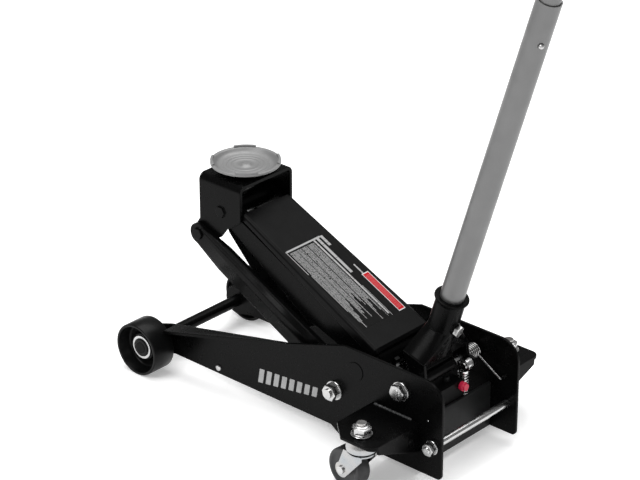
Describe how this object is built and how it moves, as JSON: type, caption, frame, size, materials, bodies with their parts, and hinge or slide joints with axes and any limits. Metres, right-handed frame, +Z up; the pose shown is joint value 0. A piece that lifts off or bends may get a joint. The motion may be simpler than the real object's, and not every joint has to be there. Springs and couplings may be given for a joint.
{
  "type": "hydraulic floor jack",
  "caption": "Low wheeled hydraulic floor jack: lift arm with a cupped swivelling saddle, levelling links, rear casters and a long pump handle.",
  "frame": {"origin": "on the floor, below the middle of the jack's box", "axes": "+Z up, -X towards the lifting end, +X towards the handle end, +Y to the right seen from above with the handle end at the near side of the viewer facing the saddle"},
  "size_m": [0.9036, 0.406, 1.2598],
  "materials": {
    "black_paint": "gloss",
    "arm_paint": "matte",
    "grey_panel": "satin",
    "zinc": "satin",
    "handle_paint": "satin",
    "saddle_steel": "satin",
    "wheel_paint": "satin",
    "caster_tread": "matte",
    "ground_steel": "polished",
    "seal": "matte",
    "red_plug": "satin",
    "label": "satin",
    "grip": "matte"
  },
  "bodies": {
    "frame": {"side_plate_near": "black_paint", "side_plate_far": "black_paint", "rear_cross_plate": "grey_panel", "tie_rod": "zinc", "tie_rod_nuts": "zinc", "front_axle": "black_paint", "spacer_tubes": "black_paint", "axle_washers": "zinc", "axle_caps": "black_paint", "plate_bolts": "zinc", "caster_wing_near": "black_paint", "caster_wing_far": "black_paint", "caster_races": "zinc", "arm_shaft": "black_paint", "link_bolts": "zinc", "link_nuts": "zinc", "pump_block": "black_paint", "cylinder": "black_paint", "reservoir_tube": "black_paint", "tank_cap": "black_paint", "return_springs": "zinc", "plunger_spring": "zinc", "filler_plug": "red_plug", "socket_shaft": "zinc", "torsion_springs": "zinc"},
    "front_wheel_near": {"front_wheel_near": "wheel_paint"},
    "front_wheel_far": {"front_wheel_far": "wheel_paint"},
    "caster_near": {"caster_fork_near": "zinc", "caster_nut_near": "zinc", "caster_axle_near": "zinc"},
    "caster_far": {"caster_fork_far": "zinc", "caster_nut_far": "zinc", "caster_axle_far": "zinc"},
    "caster_wheel_near": {"caster_wheel_near": "caster_tread"},
    "caster_wheel_far": {"caster_wheel_far": "caster_tread"},
    "arm": {"arm_cover": "arm_paint", "arm_bars": "black_paint", "arm_panels": "black_paint", "arm_tube": "black_paint", "arm_levers": "black_paint", "ram_pin": "ground_steel", "arm_label": "label"},
    "head": {"lifting_head": "black_paint", "head_pin": "black_paint", "link_pins": "black_paint"},
    "saddle": {"saddle": "saddle_steel"},
    "link_near": {"link_near": "black_paint"},
    "link_far": {"link_far": "black_paint"},
    "ram": {"ram": "ground_steel", "ram_seal": "seal"},
    "socket": {"handle_socket": "black_paint", "roller_pin": "zinc", "set_bolt": "zinc"},
    "pump_roller": {"pump_roller": "ground_steel"},
    "plunger": {"pump_plunger": "ground_steel"},
    "handle": {"handle_lower": "handle_paint", "handle_upper": "handle_paint", "handle_grip": "grip"},
    "button": {"spring_button": "zinc"},
    "release_valve": {"release_valve": "zinc"}
  },
  "joints": [
    {"name": "front_wheel_near_spin", "type": "hinge", "parent": "frame", "child": "front_wheel_near", "pos_m": [-0.40683, -0.129, 0.045], "axis": [0, 1, 0], "continuous": true},
    {"name": "front_wheel_far_spin", "type": "hinge", "parent": "frame", "child": "front_wheel_far", "pos_m": [-0.40683, 0.129, 0.045], "axis": [0, 1, 0], "continuous": true},
    {"name": "caster_near_swivel", "type": "hinge", "parent": "frame", "child": "caster_near", "pos_m": [0.10617, -0.177, 0.08], "axis": [0, 0, 1], "continuous": true},
    {"name": "caster_far_swivel", "type": "hinge", "parent": "frame", "child": "caster_far", "pos_m": [0.10617, 0.177, 0.08], "axis": [0, 0, 1], "continuous": true},
    {"name": "caster_wheel_near_spin", "type": "hinge", "parent": "caster_near", "child": "caster_wheel_near", "pos_m": [0.08027, -0.17473, 0.033], "axis": [0.0872, 0.9962, 0], "continuous": true},
    {"name": "caster_wheel_far_spin", "type": "hinge", "parent": "caster_far", "child": "caster_wheel_far", "pos_m": [0.08094, 0.17071, 0.033], "axis": [-0.2419, 0.9703, 0], "continuous": true},
    {"name": "arm_lift", "type": "hinge", "parent": "frame", "child": "arm", "pos_m": [0.02017, 0, 0.14], "axis": [0, 1, 0], "range_deg": [-37.8, 23.2]},
    {"name": "head_level", "type": "hinge", "parent": "arm", "child": "head", "pos_m": [-0.29491, 0, 0.29916], "axis": [0, 1, 0], "range_deg": [-23.2, 37.8]},
    {"name": "link_near_turn", "type": "hinge", "parent": "frame", "child": "link_near", "pos_m": [-0.02283, -0.066, 0.091], "axis": [0, 1, 0], "range_deg": [-37.8, 23.2]},
    {"name": "link_far_turn", "type": "hinge", "parent": "frame", "child": "link_far", "pos_m": [-0.02283, 0.066, 0.091], "axis": [0, 1, 0], "range_deg": [-37.8, 23.2]},
    {"name": "saddle_swivel", "type": "hinge", "parent": "head", "child": "saddle", "pos_m": [-0.29691, 0, 0.35316], "axis": [0, 0, 1], "continuous": true},
    {"name": "ram_slide", "type": "slide", "parent": "frame", "child": "ram", "axis": [-1, 0, 0], "range_m": [-0.02949, 0.01817], "deforming": ["return_springs"]},
    {"name": "socket_tilt", "type": "hinge", "parent": "frame", "child": "socket", "pos_m": [0.11167, 0, 0.14], "axis": [0, 1, 0], "range_deg": [-12, 45]},
    {"name": "plunger_slide", "type": "slide", "parent": "frame", "child": "plunger", "axis": [0, 0, -1], "range_m": [-0.00419, 0.01544], "deforming": ["plunger_spring"]},
    {"name": "roller_spin", "type": "hinge", "parent": "socket", "child": "pump_roller", "pos_m": [0.13267, 0.038, 0.14], "axis": [0, 1, 0], "continuous": true},
    {"name": "handle_twist", "type": "hinge", "parent": "socket", "child": "handle", "pos_m": [0.10991, 0, 0.20332], "axis": [0.294, 0, 0.9558], "range_deg": [-90, 90]},
    {"name": "release_valve_turn", "type": "hinge", "parent": "frame", "child": "release_valve", "pos_m": [0.09517, 0, 0.122], "axis": [0, 0, 1], "range_deg": [-90, 90]},
    {"name": "spring_button_press", "type": "slide", "parent": "handle", "child": "button", "axis": [0.7924, -0.5592, -0.2438], "range_m": [-0.005, 0], "stiffness_N_per_m": 600, "springref_m": 0.001}
  ],
  "couplings": [
    {"joint": "head_level", "follows": "arm_lift", "ratio": -1},
    {"joint": "link_near_turn", "follows": "arm_lift", "ratio": 1},
    {"joint": "link_far_turn", "follows": "arm_lift", "ratio": 1},
    {"joint": "ram_slide", "follows": "arm_lift", "m_per_rad": 0.04439},
    {"joint": "plunger_slide", "follows": "socket_tilt", "m_per_rad": 0.01953},
    {"joint": "release_valve_turn", "follows": "handle_twist", "ratio": 1}
  ]
}
